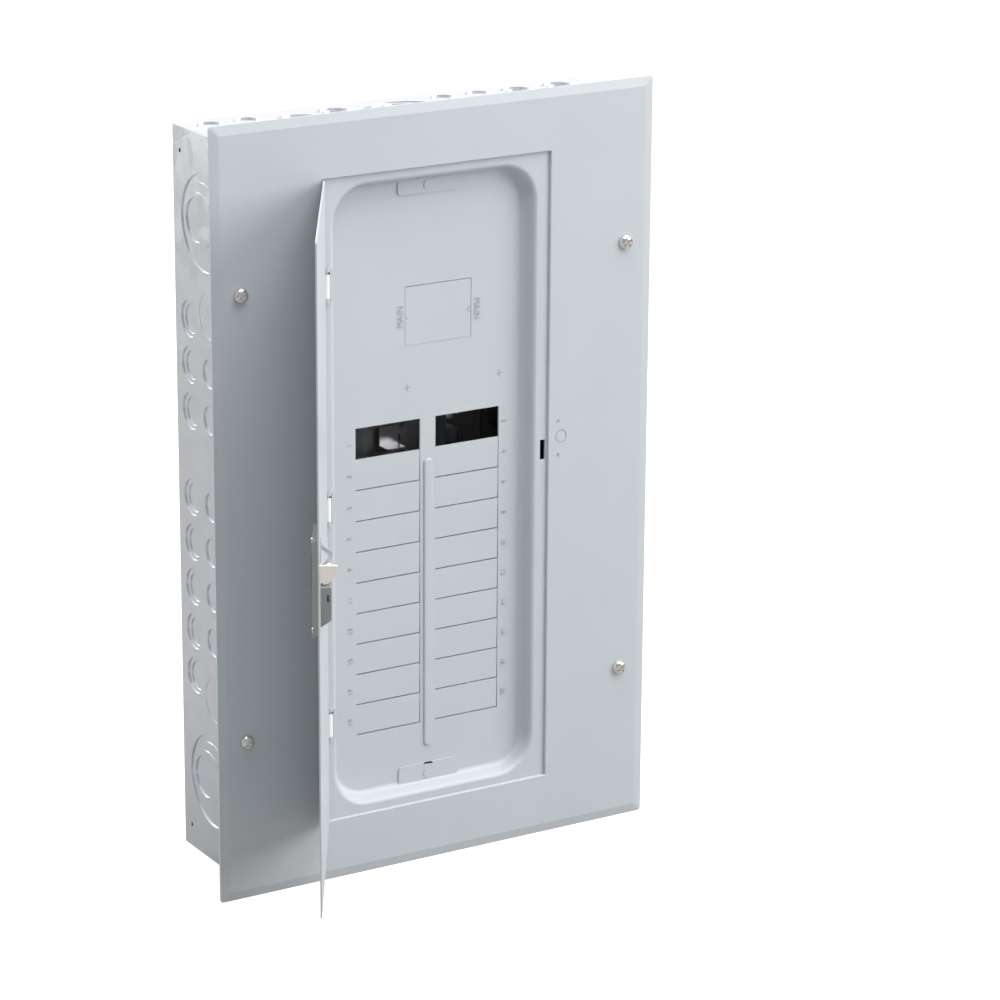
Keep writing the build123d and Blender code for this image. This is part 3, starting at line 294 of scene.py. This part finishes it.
def stamp(piece, words, x, z, quarter_turn, height, length=None):
    """Adds a word to a bmesh, flat on the pan's floor, turned a quarter and sized to a height."""
    curve = bpy.data.curves.new("word", "FONT")
    curve.body = words
    curve.align_x, curve.align_y = "CENTER", "CENTER"
    curve.offset = stroke_offset
    curve.extrude = 0.5
    holder = bpy.data.objects.new("word", curve)
    bpy.context.scene.collection.objects.link(holder)
    bpy.context.view_layer.update()
    mesh = bpy.data.meshes.new_from_object(holder.evaluated_get(bpy.context.evaluated_depsgraph_get()))
    bpy.data.objects.remove(holder)
    low = Vector([min(v.co[i] for v in mesh.vertices) for i in range(3)])
    high = Vector([max(v.co[i] for v in mesh.vertices) for i in range(3)])
    middle, size = (low + high) / 2, high - low
    tall = height / size.y
    wide = length / size.x if length else tall
    mesh.transform(
        Matrix.Translation((x, pan_floor, z))
        @ Matrix.Rotation(radians(90 * quarter_turn), 4, "Y")
        @ Matrix.Rotation(radians(90), 4, "X")
        @ Matrix.Diagonal((wide, tall, 2 * stamp_relief / size.z, 1))
        @ Matrix.Translation(-middle)
    )
    piece.from_mesh(mesh)
    bpy.data.meshes.remove(mesh)


def stamped_piece(name, shape):
    """Finishes a bmesh of letters as one piece on the cover."""
    mesh = bpy.data.meshes.new(name)
    shape.to_mesh(mesh)
    shape.free()
    mesh.materials.append(stroke_shade_paint)
    piece = bpy.data.objects.new(name, mesh)
    bpy.context.scene.collection.objects.link(piece)
    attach(piece, "enclosure")


numbers = bmesh.new()
for row in range(10):
    height = first_row - row * row_pitch
    stamp(numbers, str(2 * row + 1), odd_numbers_x, height, -1, number_height)
    stamp(numbers, str(2 * row + 2), even_numbers_x, height, 1, number_height)
stamped_piece("row_numbers", numbers)

words = bmesh.new()
stamp(words, "MAIN", *left_word_at, -1, *word_size)
stamp(words, "MAIN", *right_word_at, 1, *word_size)
stamped_piece("main_words", words)

# ---- Screws and pins -------------------------------------------------------
# Cold-headed steel, bright nickel or zinc plated, turned slightly dull by handling.
plated = surface(
    "bright_plate", skin, (0.78, 0.76, 0.73), metallic=1.0, bump=0.00004, strength=0.3,
    values=(("Roughness", 0.11), ("Roughness Spread", 0.05), ("Patches", 220.0), ("Grain", 1500.0)),
)
coat(
    plated, "cover_screws", "latch_screws", "tray_screws", "bus_bolts", "neutral_screws", "ground_screws",
    "hinge_pin_top", "hinge_pin_middle", "hinge_pin_bottom",
)
dyed = surface(
    "green_plate", skin, (0.05, 0.24, 0.12), metallic=0.7, bump=0.00004,
    values=(("Roughness", 0.32), ("Tone Spread", 0.1), ("Patches", 120.0)),
)
coat(dyed, "bonding_screw", "ground_fixings")

# ---- Hinge bushings --------------------------------------------------------
# White nylon tubes that turn on the pins, moulded, with a faint parting haze.
nylon = surface(
    "white_nylon", skin, (0.90, 0.90, 0.88), bump=0.00005,
    values=(("Roughness", 0.38), ("Patches", 160.0), ("Tone Spread", 0.04)),
)
coat(nylon, "hinge_bushing_top", "hinge_bushing_middle", "hinge_bushing_bottom")

# ---- Latch -----------------------------------------------------------------
# Moulded plastic: a grey housing and thumb slide with a fine spark texture, a cream hook,
# and a leaf spring of thin bright strip.
housing = surface(
    "grey_moulding", skin, (0.26, 0.265, 0.26), bump=0.00012, strength=0.5,
    values=(("Roughness", 0.55), ("Patches", 90.0), ("Tone Spread", 0.06), ("Grain", 1600.0)),
)
coat(housing, "latch_housing", "latch_button")
cream = surface(
    "cream_moulding", skin, (0.84, 0.80, 0.74), bump=0.00006, strength=0.4,
    values=(("Roughness", 0.45), ("Patches", 120.0), ("Tone Spread", 0.04), ("Grain", 1500.0)),
)
coat(cream, "latch_hook")

# ---- Bus assembly ----------------------------------------------------------
# Tin-plated bars and stabs on a dark grey moulded base, carried by a galvanised tray with a hook
# rail on each side. The rolled bars show long faint streaks.
streaks, given, result = group_tree(
    "rolled_streaks",
    (
        ("Across", 700.0), ("Along", 14.0), ("Tone Spread", 0.08),
        ("Roughness", 0.3), ("Roughness Spread", 0.08),
    ),
    ("Colour",),
    skin_results,
)
place = add(streaks, "ShaderNodeTexCoord").outputs["Object"]
stretch = add(
    streaks, "ShaderNodeCombineXYZ",
    X=given.outputs["Across"], Y=given.outputs["Across"], Z=given.outputs["Along"],
).outputs[0]
drawn = add(streaks, "ShaderNodeVectorMath", operation="MULTIPLY", i0=place, i1=stretch).outputs[0]
lines = add(streaks, "ShaderNodeTexNoise", Vector=drawn, Scale=1.0, Detail=3.0).outputs["Fac"]
cloud = add(streaks, "ShaderNodeTexNoise", Vector=place, Scale=55.0, Detail=3.0).outputs["Fac"]
wave = reckon(streaks, "MULTIPLY_ADD", lines, 0.6, reckon(streaks, "MULTIPLY", cloud, 0.4))
rolled = toned(streaks, given.outputs["Colour"], given.outputs["Tone Spread"], wave)
streaks.links.new(rolled, result.inputs[0])
streaks.links.new(
    around(streaks, given.outputs["Roughness"], given.outputs["Roughness Spread"], cloud), result.inputs[1]
)
streaks.links.new(lines, result.inputs[2])

tin = surface("tin_plate", streaks, (0.56, 0.56, 0.58), metallic=1.0, bump=0.00003, strength=0.3)
coat(tin, "bus_bar_left", "bus_bar_right", "stabs")
coat(galvanised, "tray", "breaker_rail_left", "breaker_rail_right")
moulded_black = surface(
    "black_moulding", skin, (0.012, 0.012, 0.013), bump=0.0001, strength=0.5,
    values=(("Roughness", 0.5), ("Patches", 60.0), ("Tone Spread", 0.2)),
)
coat(moulded_black, "neutral_supports")
moulded_grey = surface(
    "dark_grey_moulding", skin, (0.24, 0.24, 0.245), bump=0.0001, strength=0.5,
    values=(("Roughness", 0.45), ("Patches", 60.0), ("Tone Spread", 0.1)),
)
coat(moulded_grey, "insulating_base")
strip = surface(
    "spring_strip", streaks, (0.66, 0.68, 0.70), metallic=1.0, bump=0.00002,
    values=(("Roughness", 0.28),),
)
coat(strip, "latch_spring")

# ---- Lugs and terminal bars ------------------------------------------------
# Extruded aluminium, sawn to length and tin flashed.
aluminium = surface(
    "extruded_aluminium", streaks, (0.72, 0.73, 0.74), metallic=1.0, bump=0.00004, strength=0.4,
    values=(("Roughness", 0.36), ("Across", 900.0)),
)
coat(
    aluminium, "lugs", "lug_screws", "neutral_bar_left", "neutral_bar_right", "ground_bar", "neutral_strap"
)
